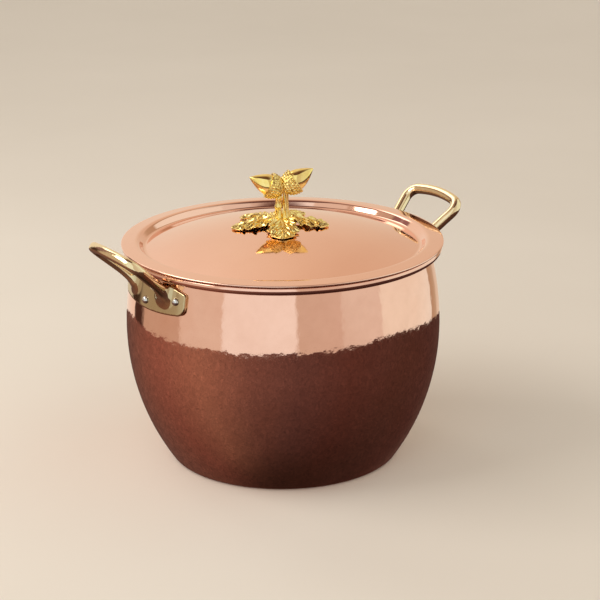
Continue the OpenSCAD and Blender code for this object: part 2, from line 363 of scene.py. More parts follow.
def surface_net(field, lo, hi, step):
    """A quad mesh of the surface where field is zero, pulled onto it exactly."""
    axes = [np.arange(lo[k] - step, hi[k] + 2 * step, step) for k in range(3)]
    grid = np.stack(np.meshgrid(*axes, indexing="ij"), -1)
    shape = grid.shape[:3]
    values = field(grid.reshape(-1, 3)).reshape(shape)
    inside = values < 0
    cell_shape = tuple(s - 1 for s in shape)
    total = np.zeros(cell_shape + (3,))
    crossings = np.zeros(cell_shape)
    corners = [(x, y, z) for x in (0, 1) for y in (0, 1) for z in (0, 1)]

    def part(array, c):
        return array[
            c[0] : c[0] + cell_shape[0], c[1] : c[1] + cell_shape[1], c[2] : c[2] + cell_shape[2]
        ]

    for c in corners:
        for axis in range(3):
            if c[axis]:
                continue
            e = list(c)
            e[axis] = 1
            va, vb = part(values, c), part(values, e)
            cross = (va < 0) != (vb < 0)
            t = np.where(cross, va / np.where(cross, va - vb, 1), 0)
            pa, pb = part(grid, c), part(grid, e)
            total += np.where(cross[..., None], pa + t[..., None] * (pb - pa), 0)
            crossings += cross
    used = crossings > 0
    index = np.full(cell_shape, -1)
    index[used] = np.arange(used.sum())
    points = total[used] / crossings[used][:, None]
    faces = []
    for axis in range(3):
        u, v = (axis + 1) % 3, (axis + 2) % 3
        a = np.take(inside, range(shape[axis] - 1), axis)
        b = np.take(inside, range(1, shape[axis]), axis)
        where = np.argwhere(a != b)
        ok = (where[:, u] > 0) & (where[:, v] > 0)
        ok &= (where[:, u] < shape[u] - 1) & (where[:, v] < shape[v] - 1)
        where = where[ok]
        starts_in = inside[tuple(where.T)]
        quad = []
        for du, dv in ((-1, -1), (0, -1), (0, 0), (-1, 0)):
            cell = where.copy()
            cell[:, u] += du
            cell[:, v] += dv
            quad.append(index[tuple(cell.T)])
        quad = np.stack(quad, 1)
        quad[~starts_in] = quad[~starts_in][:, ::-1]
        faces += quad.tolist()
    for _ in range(PULLS):
        points = pull(points, field)
    return points, faces


def pull(points, field, reach=0.02):
    """One Newton step of each point towards the surface."""
    value = field(points)
    slope = np.stack(
        [(field(points + reach * e) - field(points - reach * e)) / (2 * reach) for e in np.eye(3)], 1
    )
    step = value / np.maximum((slope**2).sum(1), 0.2)
    return points - np.clip(step, -1, 1)[:, None] * slope


def smooth_min(a, b, k):
    """The smaller of two distances, blended where they are within k of each other."""
    h = np.clip(0.5 + 0.5 * (b - a) / k, 0, 1)
    return b + (a - b) * h - k * h * (1 - h)


def smooth_max(a, b, k):
    """The larger of two distances with a rounded corner."""
    return -smooth_min(-a, -b, k)


def smooth_over(x, k):
    """Zero below, x above, with a soft corner."""
    return 0.5 * (x + np.sqrt(x * x + k * k))


# ---------------------------------------------------------------- node helpers
class Nodes:
    """A node tree, with the few kinds of node that the materials and the world are built from."""

    def __init__(self, tree):
        self.tree = tree
        self.tree.nodes.clear()

    def add(self, kind, **settings):
        node = self.tree.nodes.new(kind)
        for key, value in settings.items():
            setattr(node, key, value)
        return node

    def link(self, a, b):
        self.tree.links.new(a, b)

    def feed(self, socket, value):
        """Sets a socket to a number or a colour, or links it to another node's output."""
        if isinstance(value, (int, float)):
            socket.default_value = value
        elif isinstance(value, tuple):
            socket.default_value = (*value, 1)
        else:
            self.link(value, socket)

    def maths(self, kind, a, b=0.0):
        node = self.add("ShaderNodeMath", operation=kind)
        self.feed(node.inputs[0], a)
        self.feed(node.inputs[1], b)
        return node.outputs[0]

    def mix(self, fac, a, b, blend="MIX"):
        node = self.add("ShaderNodeMix", data_type="RGBA", blend_type=blend)
        self.feed(node.inputs[0], fac)
        self.feed(node.inputs[6], a)
        self.feed(node.inputs[7], b)
        return node.outputs[2]

    def times(self, a, b):
        """The product of two colours."""
        return self.mix(1.0, a, b, "MULTIPLY")

    def ramp(self, value, stops):
        """stops is a list of (place, colour or number)."""
        node = self.add("ShaderNodeValToRGB")
        elements = node.color_ramp.elements
        while len(elements) < len(stops):
            elements.new(0.5)
        for element, (place_at, colour) in zip(elements, stops):
            element.position = place_at
            element.color = (*colour, 1) if isinstance(colour, tuple) else (colour,) * 3 + (1,)
        self.link(value, node.inputs["Fac"])
        return node.outputs["Color"]

    def noise(self, scale, detail, where, rough=0.55):
        node = self.add("ShaderNodeTexNoise")
        node.inputs["Scale"].default_value = scale
        node.inputs["Detail"].default_value = detail
        node.inputs["Roughness"].default_value = rough
        self.link(where, node.inputs["Vector"])
        return node.outputs["Fac"]


class Shade(Nodes):
    """One material, with its patterns laid on the object coordinates in metres."""

    def __init__(self, name):
        self.material = bpy.data.materials.new(name)
        self.material.use_nodes = True
        super().__init__(self.material.node_tree)
        self.surface = self.add("ShaderNodeBsdfPrincipled")
        out = self.add("ShaderNodeOutputMaterial")
        self.link(self.surface.outputs["BSDF"], out.inputs["Surface"])
        self.where = self.add("ShaderNodeTexCoord").outputs["Object"]

    def stretched(self, scale):
        """The object coordinates in metres, scaled along each axis."""
        node = self.add("ShaderNodeMapping")
        node.inputs["Scale"].default_value = scale
        self.link(self.where, node.inputs["Vector"])
        return node.outputs["Vector"]

    def cloud(self, scale, detail=3.0, rough=0.55):
        """Noise of the same scale along every axis."""
        return self.noise(scale, detail, self.where, rough)

    def lines(self, stretch, detail):
        """Noise drawn out along the axes with the smaller scales."""
        return self.noise(1.0, detail, self.stretched(stretch))

    def cells(self, scale, smoothness=0.6):
        """Distance from the middles of soft-edged cells."""
        node = self.add("ShaderNodeTexVoronoi", feature="SMOOTH_F1")
        node.inputs["Scale"].default_value = scale
        node.inputs["Smoothness"].default_value = smoothness
        self.link(self.where, node.inputs["Vector"])
        return node.outputs["Distance"]

    def blend(self, a, b, share):
        """The sum of a share of one value and the rest of another."""
        return self.maths("ADD", self.maths("MULTIPLY", a, share), self.maths("MULTIPLY", b, 1 - share))

    def stain(self, colour, value, stops, tint):
        """Mixes a tint into a colour where the ramp of a value says so."""
        return self.mix(self.ramp(value, stops), colour, tint)

    def bump(self, height, strength, distance, normal=None):
        node = self.add("ShaderNodeBump")
        node.inputs["Strength"].default_value = strength
        node.inputs["Distance"].default_value = distance
        self.link(height, node.inputs["Height"])
        if normal is not None:
            self.link(normal, node.inputs["Normal"])
        return node.outputs["Normal"]

    def finish(self, colour, roughness, normal=None, metallic=1.0):
        """Joins the results to the surface and returns the material."""
        self.link(colour, self.surface.inputs["Base Color"])
        self.link(roughness, self.surface.inputs["Roughness"])
        self.surface.inputs["Metallic"].default_value = metallic
        if normal is not None:
            self.link(normal, self.surface.inputs["Normal"])
        return self.material


# ---------------------------------------------------------------- materials
# The scales of noise and cells are per metre, and the distances of bumps are in metres.
# The handles' patina fades with the distance from the pot's axis, from this radius in metres.
PATINA_R = 0.128
PATINA_FADE = 70.0


def hammered_copper():
    """Burnished copper with shallow dents, fine upright drawing lines and slight tarnish."""
    s = Shade("copper_hammered")
    cloud = s.cloud(9.0, 4.0)
    fine = s.cloud(90.0)
    colour = s.ramp(cloud, [
        (0.30, (0.90, 0.53, 0.40)),
        (0.55, (0.93, 0.57, 0.44)),
        (0.75, (0.90, 0.50, 0.36)),
    ])
    colour = s.stain(colour, fine, [(0.35, 0.0), (0.8, 0.16)], (0.62, 0.30, 0.20))
    streak = s.lines((900, 900, 30), 4.0)
    dents = s.cells(230.0, 0.8)
    grains = s.cells(620.0)
    roughness = s.ramp(s.blend(streak, fine, 0.6), [(0.3, 0.025), (0.7, 0.075)])
    normal = s.bump(dents, 0.25, 0.00005)
    normal = s.bump(grains, 0.35, 0.00002, normal)
    normal = s.bump(streak, 0.12, 0.00002, normal)
    return s.finish(colour, roughness, normal)


def polished_copper():
    """Mirror-bright copper with faint wipe marks and small variations of tone."""
    s = Shade("copper_polished")
    cloud = s.cloud(14.0, 4.0)
    colour = s.ramp(cloud, [(0.3, (0.92, 0.56, 0.43)), (0.7, (0.95, 0.60, 0.47))])
    wipe = s.lines((40, 400, 60), 3.0)
    scratch = s.cloud(260.0, 4.0, 0.7)
    roughness = s.ramp(s.blend(wipe, scratch, 0.5), [(0.35, 0.04), (0.7, 0.10)])
    normal = s.bump(scratch, 0.05, 0.00003)
    return s.finish(colour, roughness, normal)


def cast_brass():
    """Polished cast brass: pale gold, lightly uneven, darker in its pits."""
    s = Shade("brass_handle")
    cloud = s.cloud(38.0, 4.0)
    colour = s.ramp(cloud, [
        (0.3, (0.84, 0.66, 0.38)),
        (0.6, (0.90, 0.74, 0.47)),
        (0.8, (0.82, 0.63, 0.35)),
    ])
    pits = s.cloud(700.0)
    colour = s.stain(colour, pits, [(0.62, 0.0), (0.75, 0.35)], (0.40, 0.26, 0.10))
    # The plate, near the pot's side, keeps a dull patina that hands rub off the loop
    length = s.add("ShaderNodeVectorMath", operation="LENGTH")
    s.link(s.stretched((1, 1, 0)), length.inputs[0])
    from_plate = s.maths("SUBTRACT", length.outputs["Value"], PATINA_R)
    worn = s.maths("ADD", s.maths("MULTIPLY", from_plate, PATINA_FADE), s.maths("MULTIPLY", cloud, 0.3))
    colour = s.stain(colour, worn, [(0.30, 0.62), (0.62, 0.0)], (0.36, 0.27, 0.14))
    roughness = s.ramp(s.cloud(160.0, 4.0), [(0.3, 0.06), (0.7, 0.14)])
    normal = s.bump(s.cloud(110.0, 2.0), 0.12, 0.00015)
    normal = s.bump(pits, 0.08, 0.00004, normal)
    return s.finish(colour, roughness, normal)


def gilt(name, grain_scale, grain_depth, low, high, hollow):
    """Gilding over a chased casting: rich gold, browner in the hollows of its grain.

    low and high bound the roughness, and hollow is how strongly the brown shows."""
    s = Shade(name)
    cloud = s.cloud(120.0, 4.0)
    colour = s.ramp(cloud, [
        (0.3, (0.91, 0.65, 0.17)),
        (0.6, (0.99, 0.78, 0.31)),
        (0.8, (0.94, 0.70, 0.22)),
    ])
    grain = s.cloud(grain_scale, 4.0)
    colour = s.stain(colour, grain, [(0.36, hollow), (0.50, 0.0)], (0.34, 0.19, 0.04))
    roughness = s.ramp(s.cloud(420.0), [(0.3, low), (0.7, high)])
    normal = s.bump(grain, 0.5, grain_depth)
    return s.finish(colour, roughness, normal)


def steel(name, low, high, stretch):
    """Stainless steel with fine lines; low and high bound the roughness."""
    s = Shade(name)
    colour = s.ramp(s.cloud(60.0), [(0.3, (0.64, 0.64, 0.63)), (0.7, (0.76, 0.755, 0.74))])
    lines = s.lines(stretch, 4.0)
    roughness = s.ramp(lines, [(0.3, low), (0.7, high)])
    normal = s.bump(lines, 0.12, 0.00005)
    return s.finish(colour, roughness, normal)


M_SHELL = hammered_copper()
M_LID = polished_copper()
M_BRASS = cast_brass()
M_GILT = gilt("gilt_brass", 700.0, 0.00012, 0.07, 0.15, 0.65)
M_CUP = gilt("gilt_cup", 480.0, 0.0008, 0.07, 0.15, 0.9)
M_STEM = gilt("gilt_stem", 700.0, 0.00008, 0.06, 0.13, 0.15)
M_NUT = gilt("gilt_nut", 500.0, 0.00001, 0.05, 0.10, 0.1)
M_LINING = steel("steel_lining", 0.22, 0.38, (60, 60, 1500))
M_STEEL = steel("steel_rivet", 0.14, 0.26, (900, 900, 900))


def dress(obj, material, body, slot, *nodes):
    """Gives a piece its material and its body, and hides the CAD nodes it stands for. The slot is not
    used.
    """
    obj.data.materials.clear()
    obj.data.materials.append(material)
    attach(obj, body)
    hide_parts(*nodes)
    return obj


# ---------------------------------------------------------------- pot shell
def hammer_marks(theta, body):
    """Overlapping round hammer marks, in uneven rows on the pot's side, as shifts into the copper."""
    n = len(theta)
    radius, height = body[:, 0], body[:, 1]
    along = np.concatenate([[0], np.cumsum(np.linalg.norm(np.diff(body, axis=0), axis=1))])
    side = int(np.argmax(height >= THROAT_Z)) + 1
    start = int(np.argmax(height > MARK_START_Z))
    depth = np.zeros((len(body), n))
    rows = int(along[side] / MARK_PITCH) + 3
    jitter_s = rng.uniform(-MARK_SCATTER, MARK_SCATTER, (rows, MARK_COLUMNS)) * MARK_PITCH
    jitter_t = rng.uniform(-MARK_SCATTER, MARK_SCATTER, (rows, MARK_COLUMNS))
    strength = rng.uniform(MARK_WEAKEST, 1.0, (rows, MARK_COLUMNS))
    for i in range(start, side):
        width = 2 * math.pi * max(radius[i], 1) / MARKS_ROUND
        row = int(along[i] / MARK_PITCH)
        best = np.zeros(n)
        for k in (row - 1, row, row + 1):
            if k < 0 or k >= rows:
                continue
            # Every other row is set half a mark round
            place_t = theta / (2 * math.pi) * MARKS_ROUND + 0.5 * (k % 2)
            cell = np.floor(place_t).astype(int)
            for step in (-1, 0, 1):
                j = (cell + step) % MARKS_ROUND
                ds = along[i] - (k + 0.5) * MARK_PITCH - jitter_s[k, j]
                dt = (place_t - (cell + step + 0.5) - jitter_t[k, j]) * width
                q = (ds**2 + dt**2) / MARK_R**2
                best = np.maximum(best, strength[k, j] * np.clip(1 - q, 0, 1) ** 1.5)
        from_foot = (height[i] - MARK_START_Z) / MARK_FADE_LOW
        to_throat = (THROAT_Z + 1 - height[i]) / MARK_FADE_HIGH
        depth[i] = -MARK_DEPTH * best * max(min(1, from_foot, to_throat), 0)
    return depth


def make_shell():
    """The copper from the middle of the base up the outside, round the bead and down the inside."""
    outside = wall(0)
    curl = on_arc(bead_c, BEAD_R, 225, 450, 18)
    inside = on_arc(shoulder_c, shoulder_r, 90, 180 + neck_a, 7)
    flare = [outside[-1], (THROAT_R + 0.5, THROAT_Z + 1.0), (THROAT_R + 1.7, THROAT_Z + 1.8), curl[0]]
    outline = chain(
        line((0, 0), (foot_c[0], 0), 5),
        outside,
        resample(flare, FLARE_STEPS),
        curl,
        inside,
        wall(COPPER, (2, 8, 4))[::-1],
        line((foot_c[0], COPPER), (0, COPPER), 3),
    )
    return lathe("pot_shell_hammered", outline, SHELL_SIDES, hammer_marks)


dress(make_shell(), M_SHELL, "pot", "copper_hammered", "pot_shell")


# ---------------------------------------------------------------- lid shell
def lid_outline():
    """The lid from the top of its dome down the step, over the flange and its hem, and back below."""
    dome_c = np.array([0, DOME_Z - DOME_R])
    step_a = math.atan2(WELL_DEPTH, WELL_R - PANEL_R)
    step = math.degrees(step_a)
    start = np.array([PANEL_R, PANEL_Z]) + INNER_ROUND * np.array([-math.sin(step_a), math.cos(step_a)])
    heading = np.array([math.cos(step_a), math.sin(step_a)])
    gap = start - dome_c
    b = gap @ heading
    inner_c = start + heading * (-b + math.sqrt(b * b - gap @ gap + (DOME_R + INNER_ROUND) ** 2))
    inner_a = math.degrees(math.atan2(inner_c[1] - dome_c[1], inner_c[0] - dome_c[0]))
    outer_c = (WELL_R + OUTER_ROUND * math.tan(step_a / 2), FLANGE_Z - OUTER_ROUND)
    hem_c = np.array([LID_R - HEM_R, FLANGE_Z - FLANGE_DROP - HEM_R])

    def skin(inset, counts):
        return chain(
            on_arc(dome_c, DOME_R - inset, 90, inner_a, counts[0]),
            on_arc(inner_c, INNER_ROUND + inset, 180 + inner_a, 270 + step, counts[1]),
            on_arc(outer_c, OUTER_ROUND - inset, 90 + step, 90, counts[2]),
        )

    top = skin(0, (60, 10, 10))
    under = skin(LID_COPPER, (20, 4, 4))[::-1]
    fall = math.degrees(math.atan2(FLANGE_DROP, hem_c[0] - top[-1][0]))
    rolled = on_arc(hem_c, HEM_R, 90 - fall, -90, 14)
    below_hem = (hem_c[0] - HEM_R, FLANGE_Z - LID_COPPER)
    return chain(
        top,
        line(top[-1], rolled[0], 8),
        rolled,
        line(rolled[-1], below_hem, 3),
        line(below_hem, under[0], 4),
        under,
    )


def spun_waver(theta, body):
    """The slight unevenness of a spun lid: a few hundredths of a millimetre of slow waves."""
    r = body[:, :1]
    slow = WAVER_SLOW * np.sin(2 * theta[None] + 0.9) * np.clip(r / 100, 0, 1) ** 2
    fine = WAVER_FINE * np.sin(5 * theta[None] - r / 17) * np.clip(r / 60, 0, 1)
    return (slow + fine) * np.clip((WELL_R - r) / WAVER_FADE, 0, 1)


def make_lid():
    """The lid's outline runs downwards and out, so its faces are turned to point outwards."""
    obj = lathe("lid_shell_polished", lid_outline(), LID_SIDES, spun_waver)
    obj.data.flip_normals()
    dress(obj, M_LID, "lid", "copper_polished", "lid_shell")


make_lid()


# ---------------------------------------------------------------- handles
def loop_path():
    """Middle line of the bar in the loop's own plane: x across, y out from the feet."""
    lean = np.array([math.sin(LEG_LEAN), math.cos(LEG_LEAN)])
    foot = np.array([FOOT_HALF, 0.0])
    grip_c = np.array([0.0, LOOP_LEN - GRIP_CURVE])
    start = foot + BEND_R * np.array([-math.cos(LEG_LEAN), math.sin(LEG_LEAN)])
    gap = start - grip_c
    b = gap @ lean
    bend_c = start + lean * (-b + math.sqrt(b * b - gap @ gap + (GRIP_CURVE - BEND_R) ** 2))
    grip_a = math.degrees(math.atan2(bend_c[0] - grip_c[0], bend_c[1] - grip_c[1]))
    leg_end = bend_c + BEND_R * np.array([math.cos(LEG_LEAN), -math.sin(LEG_LEAN)])
    half = chain(
        line(foot - lean * FOOT_SUNK, leg_end, 6),
        on_arc(bend_c, BEND_R, -math.degrees(LEG_LEAN), 90 - grip_a, 9),
        on_arc(grip_c, GRIP_CURVE, 90 - grip_a, 90, 7),
    )
    other = half[::-1][1:] * np.array([-1, 1])
    return np.concatenate([half, other])


PATH = loop_path()
PATH_ALONG = np.concatenate([[0], np.cumsum(np.linalg.norm(np.diff(PATH, axis=0), axis=1))])


def bar_field(p):
    """Distance to the bent bar, which is slightly squared and flares towards its feet."""
    out = p - np.array([FOOT_X, 0, FOOT_Z])
    y = out[:, 0] * math.cos(LOOP_SLOPE) + out[:, 2] * math.sin(LOOP_SLOPE)
    v = -out[:, 0] * math.sin(LOOP_SLOPE) + out[:, 2] * math.cos(LOOP_SLOPE)
    q = np.stack([-out[:, 1], y], 1)
    best = np.full(len(p), np.inf)
    at = np.zeros(len(p))
    for i in range(len(PATH) - 1):
        a, b = PATH[i], PATH[i + 1]
        ab = b - a
        length = np.linalg.norm(ab)
        t = np.clip(((q - a) @ ab) / length**2, 0, 1)
        d = np.linalg.norm(q - a - t[:, None] * ab, axis=1)
        closer = d < best
        best = np.where(closer, d, best)
        at = np.where(closer, PATH_ALONG[i] + t * length, at)
    ends = np.minimum(at, PATH_ALONG[-1] - at)
    radius = BAR_R + FOOT_FLARE * np.clip((FLARE_FROM - ends) / FLARE_LEN, 0, 1) ** 2
    power = BAR_SQUARENESS
    return (best**power + np.abs(v * BAR_FLATNESS) ** power) ** (1 / power) - radius


def plate_field(p, off_wall):
    """Distance to the riveted plate, which follows the pot's side."""
    across = np.arctan2(p[:, 1], p[:, 0]) * PLATE_R
    half_width = np.abs(across)
    low = PLATE_LOW + PLATE_ARC - np.sqrt(np.maximum(PLATE_ARC**2 - across**2, 1))
    slope = (PLATE_TOP - PLATE_END) / (PLATE_HALF - PLATE_LEVEL)
    top = PLATE_TOP - slope * smooth_over(half_width - PLATE_LEVEL, PLATE_BEND)
    low_and_end = smooth_max(low - p[:, 2], half_width - PLATE_HALF, PLATE_CORNER)
    outline = smooth_max(low_and_end, p[:, 2] - top, PLATE_TOP_ROUND)
    return smooth_max(outline, off_wall - PLATE_T, PLATE_FACE_ROUND)


def handle_field(p):
    """Signed distance to the right handle's casting, in millimetres."""
    off_wall = np.hypot(p[:, 0], p[:, 1]) - wall_r(p[:, 2])
    body = smooth_min(bar_field(p), plate_field(p, off_wall), CASTING_FILLET)
    return np.maximum(body, -off_wall)


def make_handles():
    """One casting's mesh serves both sides: the left one is the right one turned half round."""
    points, faces = surface_net(handle_field, CASTING_LOW, CASTING_HIGH, CASTING_STEP)
    for name, side in (("right", 1), ("left", -1)):
        obj = add_mesh(name + "_handle_casting", points * np.array([side, side, 1]), faces)
        dress(obj, M_BRASS, "pot", "brass_handle", name + "_handle")


make_handles()


# ---------------------------------------------------------------- rivets
def rivet_outline():
    """A set tail inside the lining, the shank, and a low dome over the plate."""
    inside = COPPER + LINING + 0.1
    dome = (HEAD_R**2 + HEAD_H**2) / (2 * HEAD_H)
    edge = math.degrees(math.asin((dome - HEAD_H) / dome))
    seat = PLATE_T + CLEARANCE
    return chain(
        line((0, -inside - TAIL_H), (TAIL_R, -inside - TAIL_H), 4),
        on_arc((TAIL_R, -inside - TAIL_H + TAIL_ROUND), TAIL_ROUND, -90, 90, 6),
        line((TAIL_R, -inside - TAIL_H + 2 * TAIL_ROUND), (SHANK_R, -inside), 3),
        line((SHANK_R, -inside), (SHANK_R, seat), 5),
        line((SHANK_R, seat), (HEAD_R - 0.15, seat), 3),
        on_arc((0, PLATE_T + HEAD_H - dome), dome, edge + 3, 90, 14),
    )


def hand_set(theta, body):
    """The slight facets that a rivet set leaves on a head."""
    on_head = body[:, 1:] > PLATE_T
    return -SET_FACET * (1 + np.sin(3 * theta + 1.3)) * on_head * (body[:, :1] / HEAD_R)


def make_rivet(node, around, z):
    """A rivet square to the pot's side at a bearing in degrees and a height."""
    a = math.asin((z - BELLY_Z) / UPPER_CURVE)
    r = upper_c[0] + UPPER_CURVE * math.cos(a)
    obj = lathe(node + "_set", rivet_outline(), RIVET_SIDES, hand_set)
    turn = Matrix.Rotation(math.radians(around), 4, "Z")
    lift = Matrix.Translation(Vector((r, 0, z)) * MM)
    tip = Matrix.Rotation(math.pi / 2 - a, 4, "Y")
    place(obj, turn @ lift @ tip)
    dress(obj, M_STEEL, "pot", "steel_rivet", node)


for side_name, base, sign in (("right", 0, 1), ("left", 180, -1)):
    make_rivet(side_name + "_rivet_front", base - sign * RIVET_STEP, OUTER_RIVET_Z)
    make_rivet(side_name + "_rivet_middle", base, MIDDLE_RIVET_Z)
    make_rivet(side_name + "_rivet_rear", base + sign * RIVET_STEP, OUTER_RIVET_Z)


# ---------------------------------------------------------------- knob
def dome_at(r):
    """Height of the lid's dome at a radius."""
    return DOME_Z - DOME_R + np.sqrt(DOME_R**2 - np.asarray(r) ** 2)


def make_boss():
    """A low turned boss, slightly uneven like a casting, with the screw's hole up the middle."""
    outline = np.array([
        (BOSS_BORE, 0.05), (8.0, -0.03), (8.2, 0.6), (7.7, 1.4), (7.9, 2.4),
        (7.6, 3.5), (6.4, 4.3), (4.4, 4.6), (BOSS_BORE, 4.6),
    ])
    outline[:, 1] += DOME_Z

    def uneven(theta, body):
        return BOSS_UNEVEN * np.sin(9 * theta) * (body[:, :1] > 5)

    obj = lathe("knob_boss_cast", resample(outline, 60), TURNED_SIDES, uneven)
    dress(obj, M_GILT, "lid", "gilt_brass", "knob_boss")


make_boss()


def swell(x, middle, width):
    """A soft bump of height one."""
    return np.exp(-(((x - middle) / width) ** 2))


def leaf_half(s):
    """Half width of an oak leaf at a fraction of its length: narrow foot, four round lobes, blunt tip."""
    hull = LEAF_HALF * np.sin(np.pi * s**1.55) ** 0.5
    lobes = 1 - LOBE_DEPTH - LOBE_DEPTH * np.cos(2 * np.pi * LEAF_LOBES * s)
    return hull * lobes + LEAF_FOOT * (1 - s)


def leaf_skins(length, seed):
    """Upper and lower skin of a leaf along X: u runs from foot to tip, v from one margin to the other."""
    r = np.random.default_rng(seed)
    u = np.linspace(0, 1, LEAF_ROWS)[:, None]
    v = np.linspace(-1, 1, LEAF_COLUMNS)[None, :]
    out = np.abs(v)
    x = LEAF_START + (length - LEAF_START) * u + 0 * v
    places = np.linspace(0, 1, 200)
    half = np.interp(np.clip(x / length, 0, 1), places, leaf_half(places))
    scallop = 1 + TOOTH_DEPTH * np.sin(2 * np.pi * LEAF_TEETH * u + r.uniform(0, 6)) * out**3
    middle = LEAF_SWAY * r.uniform(-1, 1) * np.sin(np.pi * u)
    y = half * v * scallop + middle
    phase = r.uniform(0, 6, 4)
    side_phase = np.where(v < 0, phase[0], phase[1])
    edge = out**1.5
    # Heights above the dome: the whole leaf arches, its margins ruffle and droop, its foot stands up
    # in a frill, and a midrib with branching veins runs along it
    arch = LEAF_ARCH * np.sin(np.pi * np.clip(u * 0.92 + 0.06, 0, 1)) ** 0.8
    ruffle = (RUFFLE_HEIGHT * edge + 0.2) * (1 - 0.3 * u)
    ruffle = ruffle * np.sin(2 * np.pi * LEAF_RUFFLES * u + side_phase)
    frill = FRILL_HEIGHT * swell(x, FRILL_AT, FRILL_WIDTH) * (0.35 + 0.65 * out)
    frill = frill * (1 + 0.4 * np.sin(7 * v + phase[2]))
    droop = MARGIN_DROOP * edge * (0.7 + 0.3 * u) + TIP_DROOP * u**3
    rib = RIB_HEIGHT * swell(y, middle, RIB_WIDTH) * (1 - 0.7 * u)
    branch = 2 * np.pi * (LEAF_VEINS * u - VEIN_SLANT * out**0.8)
    veins = VEIN_HEIGHT * np.cos(branch) * np.clip(out * 4, 0, 1) * (1 - 0.2 * out)
    dent = DENT_HEIGHT * np.sin(x * 2.3 + 5 * v + phase[3]) * np.sin(y * 2.0 + phase[0])
    dome = dome_at(np.clip(x, 0, 60))
    top_z = dome + LEAF_LIFT + arch + ruffle + frill - droop + rib + veins + dent
    thick = LEAF_T * (1 - out**6) + MARGIN_T
    floor_z = dome_at(np.hypot(x, y)) + LEAF_CLEAR
    top_z = np.maximum(top_z, floor_z + LEAF_LEAST)
    low_z = np.maximum(top_z - thick, floor_z)
    return np.stack([x, y, top_z], -1), np.stack([x, y, low_z], -1)


def make_leaf(node, turn, length, seed):
    """A ruffled, veined leaf: two skins joined by a narrow band round the margin."""
    top, low = leaf_skins(length, seed)
    points = np.concatenate([top.reshape(-1, 3), low.reshape(-1, 3)])
    last_i, last_j = LEAF_ROWS - 1, LEAF_COLUMNS - 1

    def at(i, j, skin):
        return (skin * LEAF_ROWS + i) * LEAF_COLUMNS + j

    faces = []
    for i in range(last_i):
        for j in range(last_j):
            faces.append((at(i, j, 0), at(i + 1, j, 0), at(i + 1, j + 1, 0), at(i, j + 1, 0)))
            faces.append((at(i, j, 1), at(i, j + 1, 1), at(i + 1, j + 1, 1), at(i + 1, j, 1)))
    for i in range(last_i):
        faces.append((at(i, 0, 0), at(i, 0, 1), at(i + 1, 0, 1), at(i + 1, 0, 0)))
        faces.append((at(i, last_j, 0), at(i + 1, last_j, 0), at(i + 1, last_j, 1), at(i, last_j, 1)))
    for j in range(last_j):
        faces.append((at(0, j, 0), at(0, j + 1, 0), at(0, j + 1, 1), at(0, j, 1)))
        faces.append((at(last_i, j, 0), at(last_i, j, 1), at(last_i, j + 1, 1), at(last_i, j + 1, 0)))
    obj = add_mesh(node + "_chased", points, faces)
    place(obj, Matrix.Rotation(math.radians(turn), 4, "Z"))
    dress(obj, M_GILT, "lid", "gilt_brass", node)


LEAVES = (
    ("leaf_front", 238, LEAF_REACH),
    ("leaf_right", 317, LEAF_REACH - 4),
    ("leaf_back_right", 42, LEAF_REACH),
    ("leaf_back_left", 108, LEAF_REACH),
    ("leaf_left", 162, LEAF_REACH),
)
for number, (leaf_name, leaf_turn, leaf_length) in enumerate(LEAVES):
    make_leaf(leaf_name, leaf_turn, leaf_length, LEAF_SEED + number)


def acorn_frame(side):
    """Where an acorn's base is, and which way it points."""
    slope = LEFT_SLOPE if side < 0 else RIGHT_SLOPE
    turn = Matrix.Rotation(math.radians(ACORN_TURN), 4, "Z")
    base = Vector((side * ACORN_X + ACORN_SIDE, 0, ACORN_Z + side * ACORN_RISE))
    lift = Matrix.Translation(base * MM)
    tip = Matrix.Rotation(math.radians(side * (90 - slope)), 4, "Y")
    return turn @ lift @ tip


def nut_radius(s):
    """Radius of a nut at a fraction of its length: round below, drawn to a point."""
    return NUT_R * np.sin(np.pi * s**0.6) ** 0.85


def make_nut(word, side):
    """A smooth pointed nut that stands in its cup."""
    s = np.linspace(0, 1, 70)
    nut = np.stack([nut_radius(s), NUT_SEAT + (NUT_LEN - CLEARANCE) * s], 1)
    nut[0, 0] = nut[-1, 0] = 0

    def uneven(theta, body):
        return NUT_UNEVEN * np.sin(5 * theta) * (body[:, :1] / NUT_R)

    obj = lathe(word + "_acorn_nut_smooth", nut, TURNED_SIDES, uneven)
    dress(place(obj, acorn_frame(side)), M_NUT, "lid", "gilt_nut", word + "_acorn_nut")


def cup_scales(theta, body):
    """Rows of small overlapping scales, with random specks, on the outside of a cup's bowl."""
    outside = (np.arange(len(body))[:, None] < BOWL_STEPS).astype(float)
    rows = body[:, 1:] / SCALE_ROW
    count = np.maximum(np.round(2 * math.pi * body[:, :1] / SCALE_WIDTH), 6)
    around = theta[None] / (2 * np.pi) * count + 0.5 * (np.floor(rows) % 2)
    bump = np.abs(np.sin(np.pi * rows)) ** 0.6 * np.abs(np.sin(np.pi * around)) ** 0.6
    speck = rng.uniform(-0.5, 0.5, (len(body), len(theta))) * SCALE_SPECK
    return outside * (SCALE_HEIGHT * bump - SCALE_SUNK + speck) * np.clip(body[:, :1] / 3, 0, 1)


